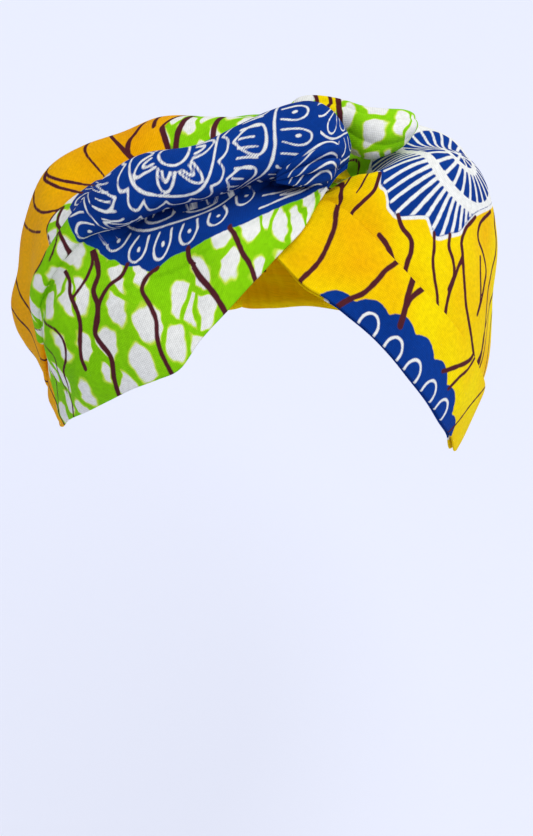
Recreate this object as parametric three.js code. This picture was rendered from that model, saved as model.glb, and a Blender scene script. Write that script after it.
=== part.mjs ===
// Twisted turban of printed cotton, worn form, hollow inside.
// Millimetres, +Z up, face opening toward -Y, origin at the top of the head inside.
//
// Every sheet is laid over an egg-shaped head. A point is named by
//   alpha  degrees of tilt from the crown toward an ear (plus is +X),
//   beta   degrees forward (minus, toward -Y) or back (plus) along the head,
//   lift   height of the cloth's outer face off the head.
import * as THREE from 'three';

// Driving sizes
const HEAD_HALF_WIDTH = 76;
const HEAD_HALF_LENGTH = 96;
const HEAD_HALF_HEIGHT = 95;
const CLOTH = 1.4;
const GAP = 0.45;
const PUFF = 30;

// Sampling of the smooth sheets into facets
const LEFT_STEPS = { along: 38, across: 34 };
const RIGHT_STEPS = { along: 27, across: 17 };
const HEM_STEPS = { first: 1, across: 5 };
const BAG_STEPS = { along: 49, across: 11 };
const PILLOW_STEPS = { along: 14, around: 16 };
const PLEAT_STEPS = { along: 11, around: 24, ridges: 6, depth: 0.16 };

// Left panel from the knot to the left ear. Angles in degrees, lifts as shares of PUFF.
const LEFT_COLUMNS = ['alpha', 'edge', 'edgeLift', 'lip', 'lipLift', 'crease', 'creaseLift',
  'roll', 'rollLift', 'rollRadius', 'valley', 'valleyLift', 'back', 'backLift', 'rear', 'rearLift'];
const LEFT_ROWS = [
  [18.5, -6.5, 0.433, -6, 0.467, -5, 0.417, -3.6, 0.467, 0.107, -0.5, 0.333, 1.5, 0.3, 5, 0.267],
  [16.5, -8.5, 0.383, -7.8, 0.433, -6.2, 0.35, -4, 0.5, 0.217, 2, 0.3, 5, 0.287, 10, 0.25],
  [12.5, -14.7, 0.327, -12, 0.407, -6.9, 0.283, -4.4, 0.55, 0.353, 6.5, 0.287, 12, 0.3, 19, 0.233],
  [8.5, -20.6, 0.247, -15.4, 0.36, -7.8, 0.233, -4.8, 0.567, 0.367, 7.5, 0.267, 14, 0.35, 23, 0.217],
  [2.5, -25.4, 0.18, -17.7, 0.307, -9, 0.193, -6.2, 0.5, 0.333, 7, 0.233, 14, 0.317, 25, 0.2],
  [-3, -29, 0.1, -19.5, 0.3, -10.1, 0.18, -7.5, 0.467, 0.29, 4, 0.217, 14, 0.317, 25, 0.2],
  [-11, -33.5, 0.073, -22.5, 0.283, -10.1, 0.18, -9.2, 0.467, 0.273, 3, 0.233, 13, 0.4, 26, 0.2],
  [-20, -37.2, 0.073, -23.9, 0.25, -9.8, 0.2, -8.4, 0.483, 0.29, 3, 0.3, 14, 0.55, 28, 0.217],
  [-28, -40.3, 0.073, -23.5, 0.267, -9, 0.267, -9, 0.533, 0.267, 3, 0.4, 14, 0.633, 30, 0.233],
  [-36, -39.6, 0.073, -24, 0.333, -13.5, 0.417, -9, 0.617, 0.183, 4, 0.567, 14, 0.807, 31, 0.267],
  [-45, -37.5, 0.073, -25, 0.367, -18, 0.5, -10, 0.583, 0.133, 3, 0.733, 13, 0.94, 32, 0.3],
  [-55, -34.5, 0.073, -25, 0.333, -18, 0.483, -10, 0.5, 0.1, 2, 0.617, 12, 0.833, 34, 0.3],
  [-65, -30, 0.073, -23, 0.233, -17, 0.327, -9, 0.35, 0.077, 1, 0.467, 11, 0.583, 35, 0.283],
  [-75, -23.5, 0.073, -18, 0.127, -13, 0.173, -7, 0.187, 0.057, 2, 0.4, 12, 0.74, 34, 0.267],
  [-83, -18, 0.073, -14, 0.107, -9, 0.147, -4, 0.153, 0.047, 4, 0.367, 13, 0.667, 33, 0.233],
  [-91, -8, 0.073, -5, 0.093, -1, 0.127, 3, 0.127, 0.04, 9, 0.267, 16, 0.42, 32, 0.2],
  [-97, 2, 0.073, 4, 0.08, 7, 0.097, 10, 0.087, 0.027, 14, 0.14, 20, 0.173, 31, 0.18],
];

// Right panel from under the knot to the right ear.
const RIGHT_COLUMNS = ['alpha', 'edge', 'edgeLift', 'hem', 'hemLift', 'front', 'frontLift',
  'crest', 'crestLift', 'dip', 'dipLift', 'fold', 'foldLift', 'rear', 'rearLift'];
const RIGHT_ROWS = [
  [3, -24.6, 0.073, -17, 0.08, -14, 0.087, -11, 0.093, -9, 0.093, -7, 0.093, -4, 0.08],
  [9, -29.8, 0.073, -15, 0.12, -12.5, 0.127, -10.5, 0.133, -9, 0.127, -7, 0.12, -4, 0.107],
  [14.5, -31.6, 0.073, -13.3, 0.2, -11.5, 0.22, -9, 0.22, -6.5, 0.2, -3.5, 0.18, 0, 0.167],
  [18.5, -32.6, 0.073, -15.2, 0.273, -11.5, 0.367, -8.6, 0.433, -5, 0.3, 0, 0.2, 4, 0.167],
  [23, -33.9, 0.073, -17.9, 0.29, -12, 0.45, -7.6, 0.55, -2.5, 0.333, 6, 0.3, 12, 0.18],
  [30, -35.4, 0.073, -21.7, 0.307, -11, 0.567, -2.5, 0.7, 5, 0.533, 13, 0.667, 20, 0.233],
  [38, -36.9, 0.073, -24.1, 0.32, -11, 0.683, 3, 0.917, 7.5, 0.783, 13, 0.85, 23, 0.267],
  [47, -38, 0.073, -25, 0.333, -10, 0.75, 4.5, 1.007, 9, 0.92, 15, 0.867, 28, 0.3],
  [57, -37.8, 0.073, -24.6, 0.333, -9, 0.683, 3, 0.85, 10, 0.8, 17, 0.75, 31, 0.3],
  [67, -36.7, 0.073, -22.6, 0.333, -8, 0.567, 2, 0.673, 9, 0.667, 17, 0.633, 33, 0.3],
  [76, -33.9, 0.073, -19.7, 0.327, -8, 0.487, 3, 0.573, 9, 0.587, 17, 0.55, 33, 0.283],
  [84, -31.5, 0.073, -18.2, 0.213, -9, 0.353, 2, 0.44, 8, 0.447, 16, 0.417, 33, 0.267],
  [91, -21, 0.073, -13, 0.16, -6, 0.253, 3, 0.3, 9, 0.287, 15, 0.273, 32, 0.233],
  [97, -10, 0.073, -6, 0.117, 0, 0.16, 7, 0.167, 12, 0.173, 17, 0.18, 31, 0.193],
];

// Bag over the back of the head, from the left nape round over the crown to the right nape.
const BAG_COLUMNS = ['alpha', 'front', 'tuck', 'tuckLift', 'swellLift', 'crownLift', 'backLift'];
const BAG_ROWS = [
  [-180, 70, 72, 0.1, 0.3, 0.5, 0.633],
  [-152, 67, 69.5, 0.107, 0.367, 0.567, 0.633],
  [-127, 60, 63, 0.113, 0.467, 0.667, 0.633],
  [-110, 46, 50, 0.127, 0.533, 0.733, 0.633],
  [-99, 32, 37, 0.14, 0.6, 0.8, 0.633],
  [-91, 22, 34.5, 0.16, 0.633, 0.833, 0.633],
  [-80, 18, 35.5, 0.193, 0.667, 0.867, 0.633],
  [-66, 16, 36.5, 0.213, 0.7, 0.867, 0.633],
  [-50, 14, 34.5, 0.213, 0.633, 0.8, 0.633],
  [-34, 12, 32.5, 0.153, 0.467, 0.7, 0.633],
  [-18, 10, 29.5, 0.107, 0.233, 0.533, 0.633],
  [-4, 8, 27.5, 0.1, 0.153, 0.433, 0.633],
  [10, 1, 25, 0.107, 0.167, 0.467, 0.633],
  [22, 0, 18, 0.113, 0.267, 0.533, 0.633],
  [34, 12, 25, 0.133, 0.433, 0.667, 0.633],
  [50, 14, 32.5, 0.207, 0.6, 0.8, 0.633],
  [66, 16, 34.5, 0.22, 0.667, 0.867, 0.633],
  [80, 18, 34.5, 0.193, 0.667, 0.867, 0.633],
  [91, 22, 33.5, 0.16, 0.633, 0.833, 0.633],
  [99, 32, 37, 0.14, 0.6, 0.8, 0.633],
  [110, 46, 50, 0.127, 0.533, 0.733, 0.633],
  [127, 60, 63, 0.113, 0.467, 0.667, 0.633],
  [152, 67, 69.5, 0.107, 0.367, 0.567, 0.633],
  [180, 70, 72, 0.1, 0.3, 0.5, 0.633],
];

// Lobe of the right loop standing up behind the roll.
// Columns: alpha, beta, lift, half depth along the head, half height off the head.
const LOBE_ROWS = [
  [7.8, 9.6, 0.467, 0.033, 0.033],
  [10, 9.5, 0.507, 0.107, 0.11],
  [13, 8.5, 0.533, 0.153, 0.16],
  [17, 6, 0.567, 0.2, 0.207],
  [20.5, 2.2, 0.607, 0.233, 0.253],
  [24, 1, 0.673, 0.25, 0.28],
  [28, 2.6, 0.78, 0.2, 0.227],
  [31.5, 5.6, 0.847, 0.133, 0.147],
  [34, 8.2, 0.887, 0.067, 0.06],
];

// Pleats of the left loop's turned end, lying under the roll at the knot. Columns as above.
const PLEAT_ROWS = [
  [7, -12.8, 0.433, 0.03, 0.037],
  [9.5, -13.1, 0.52, 0.067, 0.107],
  [12, -12.8, 0.573, 0.087, 0.153],
  [14, -12, 0.593, 0.09, 0.173],
  [15.8, -11, 0.587, 0.083, 0.167],
  [17.1, -10.2, 0.56, 0.053, 0.113],
];

const named = (columns, rows) =>
  rows.map((row) => Object.fromEntries(columns.map((column, k) => [column, row[k]])));

const radians = THREE.MathUtils.degToRad;
const degreesOver = (mm) => THREE.MathUtils.radToDeg(mm / HEAD_HALF_HEIGHT);
const mix = (a, b, share) => a + (b - a) * share;

// Place on the head for one (alpha, beta, lift)
function onHead([alpha, beta, lift]) {
  const a = radians(alpha);
  const b = radians(beta);
  const skin = new THREE.Vector3(
    HEAD_HALF_WIDTH * Math.cos(b) * Math.sin(a),
    HEAD_HALF_LENGTH * Math.sin(b),
    HEAD_HALF_HEIGHT * Math.cos(b) * Math.cos(a),
  );
  const out = new THREE.Vector3(
    skin.x / HEAD_HALF_WIDTH ** 2,
    skin.y / HEAD_HALF_LENGTH ** 2,
    skin.z / HEAD_HALF_HEIGHT ** 2,
  ).normalize();
  skin.addScaledVector(out, lift);
  skin.z -= HEAD_HALF_HEIGHT;
  return skin;
}

// Smooth curve through knots, sampled evenly, ends carried on in a straight line
function through(knots, samples) {
  const last = knots.length - 1;
  const knot = (i) => {
    if (i < 0) return knots[0].map((v, k) => 2 * v - knots[1][k]);
    if (i > last) return knots[last].map((v, k) => 2 * v - knots[last - 1][k]);
    return knots[i];
  };
  const curve = [];
  for (let s = 0; s < samples; s += 1) {
    const u = (s / (samples - 1)) * last;
    const i = Math.min(Math.floor(u), last - 1);
    const f = u - i;
    const [p, q, r, t] = [knot(i - 1), knot(i), knot(i + 1), knot(i + 2)];
    curve.push(q.map((v, k) => v + 0.5 * f * (r[k] - p[k]
      + f * (2 * p[k] - 5 * v + 4 * r[k] - t[k] + f * (3 * (v - r[k]) + t[k] - p[k])))));
  }
  return curve;
}

// Grid of places from sections: smooth across each section, then along the rows
function sheetGrid(sections, steps) {
  const across = sections.map((section) => through(section, steps.across));
  const lines = across[0].map((_, j) => through(across.map((row) => row[j]), steps.along));
  return lines[0].map((_, i) => lines.map((line) => onHead(line[i])));
}

// Outward direction at every grid place, from its neighbours
function gridNormals(grid) {
  const at = (i, j) => grid[Math.max(0, Math.min(grid.length - 1, i))][
    Math.max(0, Math.min(grid[0].length - 1, j))];
  return grid.map((row, i) => row.map((_, j) => {
    const along = at(i + 1, j).clone().sub(at(i - 1, j));
    const across = at(i, j + 1).clone().sub(at(i, j - 1));
    return along.cross(across).normalize();
  }));
}

function solidFrom(name, places, faces, color) {
  const geometry = new THREE.BufferGeometry();
  geometry.setAttribute('position', new THREE.Float32BufferAttribute(
    places.flatMap((p) => [p.x, p.y, p.z]), 3));
  geometry.setIndex(faces.flat());
  geometry.computeVertexNormals();
  const material = new THREE.MeshStandardMaterial({ color, roughness: 0.85, side: THREE.FrontSide });
  const mesh = new THREE.Mesh(geometry, material);
  mesh.name = name;
  return mesh;
}

// Cloth of even thickness hung inside a grid of outer places, closed round its rim
function clothSolid(name, grid, color) {
  const normals = gridNormals(grid);
  const rows = grid.length;
  const cols = grid[0].length;
  const outer = grid.flat();
  const inner = grid.flatMap((row, i) => row.map((p, j) =>
    p.clone().addScaledVector(normals[i][j], -CLOTH)));
  const count = rows * cols;
  const id = (i, j) => i * cols + j;
  const faces = [];
  const quad = (a, b, c, d) => faces.push([a, b, c], [a, c, d]);
  for (let i = 0; i < rows - 1; i += 1) {
    for (let j = 0; j < cols - 1; j += 1) {
      const [a, b, c, d] = [id(i, j), id(i + 1, j), id(i + 1, j + 1), id(i, j + 1)];
      quad(a, b, c, d);
      quad(count + a, count + d, count + c, count + b);
    }
  }
  for (let i = 0; i < rows - 1; i += 1) {
    const [a, b] = [id(i, 0), id(i + 1, 0)];
    quad(b, a, count + a, count + b);
    const [c, d] = [id(i, cols - 1), id(i + 1, cols - 1)];
    quad(c, d, count + d, count + c);
  }
  for (let j = 0; j < cols - 1; j += 1) {
    const [a, b] = [id(0, j), id(0, j + 1)];
    quad(a, b, count + b, count + a);
    const [c, d] = [id(rows - 1, j), id(rows - 1, j + 1)];
    quad(d, c, count + c, count + d);
  }
  return solidFrom(name, [...outer, ...inner], faces, color);
}

// Left section: edge on the brow, turned lip, crease, round roll, valley, back fold, rear
function leftSection(row) {
  const { alpha, edge, lip, crease, roll, valley, back, rear } = row;
  const [edgeLift, lipLift, creaseLift, rollLift, rollRadius, valleyLift, backLift, rearLift] =
    [row.edgeLift, row.lipLift, row.creaseLift, row.rollLift, row.rollRadius, row.valleyLift,
      row.backLift, row.rearLift].map((share) => share * PUFF);
  const reach = degreesOver(rollRadius);
  return [
    [edge, edgeLift],
    [mix(edge, lip, 0.5), mix(edgeLift, lipLift, 0.55)],
    [lip - 0.6, mix(edgeLift, lipLift, 0.8)],
    [lip + 0.8, lipLift],
    [mix(lip, crease, 0.5), mix(lipLift, creaseLift, 0.45)],
    [crease, creaseLift],
    [roll - 0.72 * reach, rollLift - 0.62 * rollRadius],
    [roll - 0.98 * reach, rollLift + 0.1 * rollRadius],
    [roll - 0.55 * reach, rollLift + 0.84 * rollRadius],
    [roll + 0.2 * reach, rollLift + rollRadius],
    [roll + 0.9 * reach, rollLift + 0.55 * rollRadius],
    [valley, valleyLift],
    [mix(valley, back, 0.55), mix(valleyLift, backLift, 0.75)],
    [back, backLift],
    [mix(back, rear, 0.55), mix(backLift, rearLift, 0.4)],
    [rear, rearLift],
  ].map(([beta, lift]) => [alpha, beta, lift]);
}

// Right section: edge on the brow, hem line, swelling front, crest, dip, back fold, rear
function rightSection(row) {
  return [
    [row.edge, row.edgeLift],
    [mix(row.edge, row.hem, 0.5), mix(row.edgeLift, row.hemLift, 0.56)],
    [row.hem, row.hemLift],
    [row.front, row.frontLift],
    [mix(row.front, row.crest, 0.5), mix(row.frontLift, row.crestLift, 0.7)],
    [row.crest, row.crestLift],
    [row.dip, row.dipLift],
    [row.fold, row.foldLift],
    [row.rear, row.rearLift],
  ].map(([beta, share]) => [row.alpha, beta, share * PUFF]);
}

// Bag section: from its front rim under the panels to the back of the head
function bagSection(row) {
  const { alpha, front, tuck } = row;
  return [
    [front, Math.min(row.tuckLift, 0.1)],
    [mix(front, tuck, 0.5), Math.min(row.tuckLift, 0.1)],
    [tuck, row.tuckLift],
    [mix(tuck, 90, 0.22), row.swellLift],
    [mix(tuck, 90, 0.5), row.crownLift],
    [mix(tuck, 90, 0.85), row.backLift],
  ].map(([beta, share]) => [alpha, beta, share * PUFF]);
}

const leftWrap = () => clothSolid('left_wrap',
  sheetGrid(named(LEFT_COLUMNS, LEFT_ROWS).reverse().map(leftSection), LEFT_STEPS), 0x1b4aa8);

const rightGrid = sheetGrid(named(RIGHT_COLUMNS, RIGHT_ROWS).map(rightSection), RIGHT_STEPS);
const rightWrap = () => clothSolid('right_wrap', rightGrid, 0xf7b500);

// Hem band: a second layer folded over the right panel from its edge to the hem line
function hemBand() {
  const normals = gridNormals(rightGrid);
  const grid = rightGrid.map((row, i) => row.slice(0, HEM_STEPS.across).map((p, j) =>
    p.clone().addScaledVector(normals[i][j], CLOTH + GAP)));
  return clothSolid('right_hem_band', grid.slice(HEM_STEPS.first), 0xf9c21a);
}

// Bag behind the panels: a ring of sections that meet at the back of the head
function crownBag() {
  const grid = sheetGrid(named(BAG_COLUMNS, BAG_ROWS).map(bagSection), BAG_STEPS).slice(1);
  const rows = grid.length;
  const cols = grid[0].length;
  const wrapped = [grid[rows - 1], ...grid, grid[0]];
  const normals = gridNormals(wrapped).slice(1, -1);
  const outer = grid.flat();
  const inner = grid.flatMap((row, i) => row.map((p, j) =>
    p.clone().addScaledVector(normals[i][j], -CLOTH)));
  const top = onHead([0, 90, BAG_ROWS[0][6] * PUFF]);
  const count = rows * cols;
  const places = [...outer, ...inner, top, top.clone().setY(top.y - CLOTH)];
  const id = (i, j) => (i % rows) * cols + j;
  const faces = [];
  const quad = (a, b, c, d) => faces.push([a, b, c], [a, c, d]);
  for (let i = 0; i < rows; i += 1) {
    for (let j = 0; j < cols - 1; j += 1) {
      const [a, b, c, d] = [id(i, j), id(i + 1, j), id(i + 1, j + 1), id(i, j + 1)];
      quad(a, b, c, d);
      quad(count + a, count + d, count + c, count + b);
    }
    const [a, b] = [id(i, 0), id(i + 1, 0)];
    quad(b, a, count + a, count + b);
    const [c, d] = [id(i, cols - 1), id(i + 1, cols - 1)];
    faces.push([c, d, 2 * count], [count + d, count + c, 2 * count + 1]);
  }
  return solidFrom('crown_bag', places, faces, 0xf0b414);
}

// Pillow of bunched cloth: closed, round sections along a centre line, ridged if asked
function pillow(name, rows, steps, color) {
  const lines = through(rows, steps.along);
  const { around, ridges = 0, depth = 0 } = steps;
  const places = lines.flatMap(([alpha, beta, lift, halfDepth, halfHeight]) =>
    Array.from({ length: around }, (_, k) => {
      const turn = (2 * Math.PI * k) / around;
      const swell = PUFF * (1 + depth * Math.cos(ridges * turn));
      return onHead([alpha, beta + degreesOver(halfDepth * swell * Math.cos(turn)),
        lift * PUFF + halfHeight * swell * Math.sin(turn)]);
    }));
  const id = (i, k) => i * around + (k % around);
  const faces = [];
  for (let i = 0; i < lines.length - 1; i += 1) {
    for (let k = 0; k < around; k += 1) {
      const [a, b, c, d] = [id(i, k), id(i + 1, k), id(i + 1, k + 1), id(i, k + 1)];
      faces.push([a, c, b], [a, d, c]);
    }
  }
  const ends = [lines[0], lines[lines.length - 1]].map(([alpha, beta, lift]) =>
    onHead([alpha, beta, lift * PUFF]));
  const [first, last] = [places.length, places.length + 1];
  for (let k = 0; k < around; k += 1) {
    faces.push([first, id(0, k + 1), id(0, k)]);
    faces.push([last, id(lines.length - 1, k), id(lines.length - 1, k + 1)]);
  }
  return solidFrom(name, [...places, ...ends], faces, color);
}

const group = new THREE.Group();
group.name = 'twisted_turban';
group.add(
  leftWrap(),
  rightWrap(),
  hemBand(),
  crownBag(),
  pillow('knot_lobe', LOBE_ROWS, PILLOW_STEPS, 0xa9d63b),
  pillow('knot_pleats', PLEAT_ROWS, PLEAT_STEPS, 0x123f97),
);

export default group;
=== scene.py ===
"""Twisted turban of printed wax cotton: the looks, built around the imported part.

Metres, +Z up, the face opening toward -Y, the origin at the top of the head inside.
Every sheet is laid over an egg-shaped head. A place is named by alpha (degrees of tilt from
the crown toward an ear, plus is +X), beta (degrees forward, minus, or back, plus) and lift
(height of the cloth's outer face off the head). The print is drawn on the flat cloth: u runs
along a panel and v across it, in millimetres, and distances to its lines are kept as attributes.
"""

from __future__ import annotations

import logging
import math
from dataclasses import dataclass
from enum import Enum
from typing import Sequence

import bmesh
import bpy
import numpy as np
from mathutils import Matrix, Vector


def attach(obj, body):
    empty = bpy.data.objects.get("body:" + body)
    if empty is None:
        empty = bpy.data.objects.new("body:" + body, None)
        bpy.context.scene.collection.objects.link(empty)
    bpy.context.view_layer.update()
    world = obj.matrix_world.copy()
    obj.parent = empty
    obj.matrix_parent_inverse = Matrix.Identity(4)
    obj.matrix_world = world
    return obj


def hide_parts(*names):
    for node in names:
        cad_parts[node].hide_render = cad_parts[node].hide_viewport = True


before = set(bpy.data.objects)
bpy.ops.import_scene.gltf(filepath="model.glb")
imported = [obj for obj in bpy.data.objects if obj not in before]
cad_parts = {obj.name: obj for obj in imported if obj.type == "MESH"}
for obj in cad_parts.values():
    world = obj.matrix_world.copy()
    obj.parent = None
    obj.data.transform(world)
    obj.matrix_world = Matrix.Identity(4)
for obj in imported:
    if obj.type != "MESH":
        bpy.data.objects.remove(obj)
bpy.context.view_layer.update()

log = logging.getLogger("turban")

MM = 0.001
# The height of a full fold. Every lift in the tables is a share of it.
PUFF = 0.030
# How high the bag's cloth stands off the back of the head, as such a share.
BACK_LIFT = 0.633
# Distances to the print's lines are kept up to this many millimetres.
FAR = 12.0
# Half the width of the thinnest seeded vein, and how far inside a blue field its lines end.
THINNEST = 0.66
INSET = 0.9
# Millimetres of cloth to a degree of alpha and of beta, about.
ALPHA_MM, BETA_MM = 1.4, 1.6

# Columns: alpha, then beta and lift of the edge, the lip, the crease and the roll's middle, the
# roll's radius, then beta and lift of the valley, the back fold and the rear.
LEFT_ROWS = (
    (18.5, -6.5, 0.433, -6, 0.467, -5, 0.417, -3.6, 0.467, 0.107, -0.5, 0.333, 1.5, 0.3, 5, 0.267),
    (16.5, -8.5, 0.383, -7.8, 0.433, -6.2, 0.35, -4, 0.5, 0.217, 2, 0.3, 5, 0.287, 10, 0.25),
    (12.5, -14.7, 0.327, -12, 0.407, -6.9, 0.283, -4.4, 0.55, 0.353, 6.5, 0.287, 12, 0.3, 19, 0.233),
    (8.5, -20.6, 0.247, -15.4, 0.36, -7.8, 0.233, -4.8, 0.567, 0.367, 7.5, 0.267, 14, 0.35, 23, 0.217),
    (2.5, -25.4, 0.18, -17.7, 0.307, -9, 0.193, -6.2, 0.5, 0.333, 7, 0.233, 14, 0.317, 25, 0.2),
    (-3, -29, 0.1, -19.5, 0.3, -10.1, 0.18, -7.5, 0.467, 0.29, 4, 0.217, 14, 0.317, 25, 0.2),
    (-11, -33.5, 0.073, -22.5, 0.283, -10.1, 0.18, -9.2, 0.467, 0.273, 3, 0.233, 13, 0.4, 26, 0.2),
    (-20, -37.2, 0.073, -23.9, 0.25, -9.8, 0.2, -8.4, 0.483, 0.29, 3, 0.3, 14, 0.55, 28, 0.217),
    (-28, -40.3, 0.073, -23.5, 0.267, -9, 0.267, -9, 0.533, 0.267, 3, 0.4, 14, 0.633, 30, 0.233),
    (-36, -39.6, 0.073, -24, 0.333, -13.5, 0.417, -9, 0.617, 0.183, 4, 0.567, 14, 0.767, 31, 0.267),
    (-45, -37.5, 0.073, -25, 0.367, -18, 0.5, -10, 0.583, 0.133, 3, 0.733, 13, 0.9, 32, 0.3),
    (-55, -34.5, 0.073, -25, 0.333, -18, 0.483, -10, 0.5, 0.1, 2, 0.617, 12, 0.833, 34, 0.3),
    (-65, -30, 0.073, -23, 0.233, -17, 0.327, -9, 0.35, 0.077, 1, 0.467, 11, 0.687, 35, 0.283),
    (-75, -23.5, 0.073, -18, 0.127, -13, 0.173, -7, 0.187, 0.057, 2, 0.4, 12, 0.74, 34, 0.267),
    (-83, -18, 0.073, -14, 0.107, -9, 0.147, -4, 0.153, 0.047, 4, 0.367, 13, 0.667, 33, 0.233),
    (-91, -8, 0.073, -5, 0.093, -1, 0.127, 3, 0.127, 0.04, 9, 0.267, 16, 0.42, 32, 0.2),
    (-97, 2, 0.073, 4, 0.08, 7, 0.097, 10, 0.087, 0.027, 14, 0.14, 20, 0.173, 31, 0.18),
)
# Columns: alpha, then beta and lift of the edge, the hem line, the front, the crest, the dip,
# the back fold and the rear.
RIGHT_ROWS = (
    (3, -24.6, 0.073, -17, 0.08, -14, 0.087, -11, 0.093, -9, 0.093, -7, 0.093, -4, 0.08),
    (9, -29.8, 0.073, -15, 0.12, -12.5, 0.127, -10.5, 0.133, -9, 0.127, -7, 0.12, -4, 0.107),
    (14.5, -31.6, 0.073, -13.3, 0.2, -11.5, 0.22, -9, 0.22, -6.5, 0.2, -3.5, 0.18, 0, 0.167),
    (18.5, -32.6, 0.073, -15.2, 0.273, -11.5, 0.367, -8.6, 0.433, -5, 0.3, 0, 0.2, 4, 0.167),
    (23, -33.9, 0.073, -17.9, 0.29, -12, 0.45, -7.6, 0.55, -2.5, 0.333, 6, 0.3, 12, 0.18),
    (30, -35.4, 0.073, -21.7, 0.307, -11, 0.567, -2.5, 0.7, 5, 0.533, 13, 0.667, 20, 0.233),
    (38, -36.9, 0.073, -24.1, 0.32, -11, 0.683, 3, 0.917, 7.5, 0.783, 13, 0.85, 23, 0.267),
    (47, -38, 0.073, -25, 0.333, -10, 0.75, 4.5, 1.007, 9, 0.92, 15, 0.867, 28, 0.3),
    (57, -37.8, 0.073, -24.6, 0.333, -9, 0.683, 3, 0.85, 10, 0.8, 17, 0.75, 31, 0.3),
    (67, -36.7, 0.073, -22.6, 0.333, -8, 0.567, 2, 0.673, 9, 0.667, 17, 0.633, 33, 0.3),
    (76, -33.9, 0.073, -19.7, 0.327, -8, 0.487, 3, 0.573, 9, 0.587, 17, 0.55, 33, 0.283),
    (84, -31.5, 0.073, -18.2, 0.213, -9, 0.353, 2, 0.44, 8, 0.447, 16, 0.417, 33, 0.267),
    (91, -21, 0.073, -13, 0.16, -6, 0.253, 3, 0.3, 9, 0.287, 15, 0.273, 32, 0.233),
    (97, -10, 0.073, -6, 0.117, 0, 0.16, 7, 0.167, 12, 0.173, 17, 0.18, 31, 0.193),
)
# Columns of the bag: alpha, beta of the front, beta and lift of the tuck, lift of the swell and
# of the crown. The rows at the nape stand on both sides.
NAPE_ROWS = (
    (180, 70, 72, 0.1, 0.3, 0.5),
    (152, 67, 69.5, 0.107, 0.367, 0.567),
    (127, 60, 63, 0.113, 0.467, 0.667),
    (110, 46, 50, 0.127, 0.533, 0.733),
    (99, 32, 37, 0.14, 0.6, 0.8),
)
BAG_ROWS = (
    *((-alpha, *rest) for alpha, *rest in NAPE_ROWS),
    (-91, 22, 34.5, 0.16, 0.633, 0.833),
    (-80, 18, 35.5, 0.193, 0.667, 0.867),
    (-66, 16, 36.5, 0.213, 0.7, 0.867),
    (-50, 14, 34.5, 0.213, 0.633, 0.8),
    (-34, 12, 32.5, 0.153, 0.467, 0.7),
    (-18, 10, 29.5, 0.107, 0.233, 0.533),
    (-4, 8, 27.5, 0.1, 0.153, 0.433),
    (10, 1, 25, 0.107, 0.167, 0.467),
    (22, 0, 18, 0.113, 0.267, 0.533),
    (34, 12, 25, 0.133, 0.433, 0.667),
    (50, 14, 32.5, 0.207, 0.6, 0.8),
    (66, 16, 34.5, 0.22, 0.667, 0.867),
    (80, 18, 34.5, 0.193, 0.667, 0.867),
    (91, 22, 33.5, 0.16, 0.633, 0.833),
    *NAPE_ROWS[::-1],
)
# Columns of the lobe and the pleats: alpha, beta and lift of the middle, half depth and height.
LOBE_ROWS = (
    (7.8, 9.6, 0.467, 0.033, 0.033),
    (10, 9.5, 0.507, 0.107, 0.11),
    (13, 8.5, 0.533, 0.15, 0.155),
    (17, 6, 0.567, 0.19, 0.2),
    (20.5, 2.6, 0.607, 0.225, 0.245),
    (24, 1.6, 0.673, 0.245, 0.275),
    (27.5, 3, 0.76, 0.225, 0.25),
    (30.2, 5, 0.81, 0.17, 0.19),
    (31.5, 6.4, 0.84, 0.08, 0.09),
)
PLEAT_ROWS = (
    (3.2, -12.4, 0.44, 0.03, 0.04),
    (5, -12.6, 0.52, 0.07, 0.1),
    (7.5, -12.4, 0.58, 0.1, 0.16),
    (10, -11.8, 0.62, 0.115, 0.2),
    (12.4, -10.9, 0.62, 0.115, 0.21),
    (14, -10.2, 0.6, 0.095, 0.18),
    (14.8, -9.8, 0.58, 0.05, 0.1),
)


@dataclass(frozen=True)
class Head:
    """The egg-shaped form that every sheet is laid over; it is not built itself."""

    half_width: float = 0.076
    half_length: float = 0.096
    half_height: float = 0.095

    def place(self, alpha: np.ndarray, beta: np.ndarray, lift: np.ndarray) -> np.ndarray:
        """Places on the head: the egg's point for the two angles, moved out along its normal by lift.

        Args:
            alpha: tilt toward an ear, in degrees.
            beta: tilt forward or back, in degrees.
            lift: height off the head, in metres.

        Returns:
            An array of the same shape with x, y and z as its last axis.
        """
        a, b = np.radians(alpha), np.radians(beta)
        half = np.array([self.half_width, self.half_length, self.half_height])
        skin = half * np.stack([np.cos(b) * np.sin(a), np.sin(b), np.cos(b) * np.cos(a)], -1)
        out = skin / half**2
        out /= np.linalg.norm(out, axis=-1, keepdims=True)
        places = skin + out * np.asarray(lift)[..., None]
        places[..., 2] -= self.half_height
        return places

    def degrees_over(self, length: np.ndarray) -> np.ndarray:
        """Degrees of beta that a length covers along the head."""
        return np.degrees(np.asarray(length) / self.half_height)


HEAD = Head()


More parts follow.
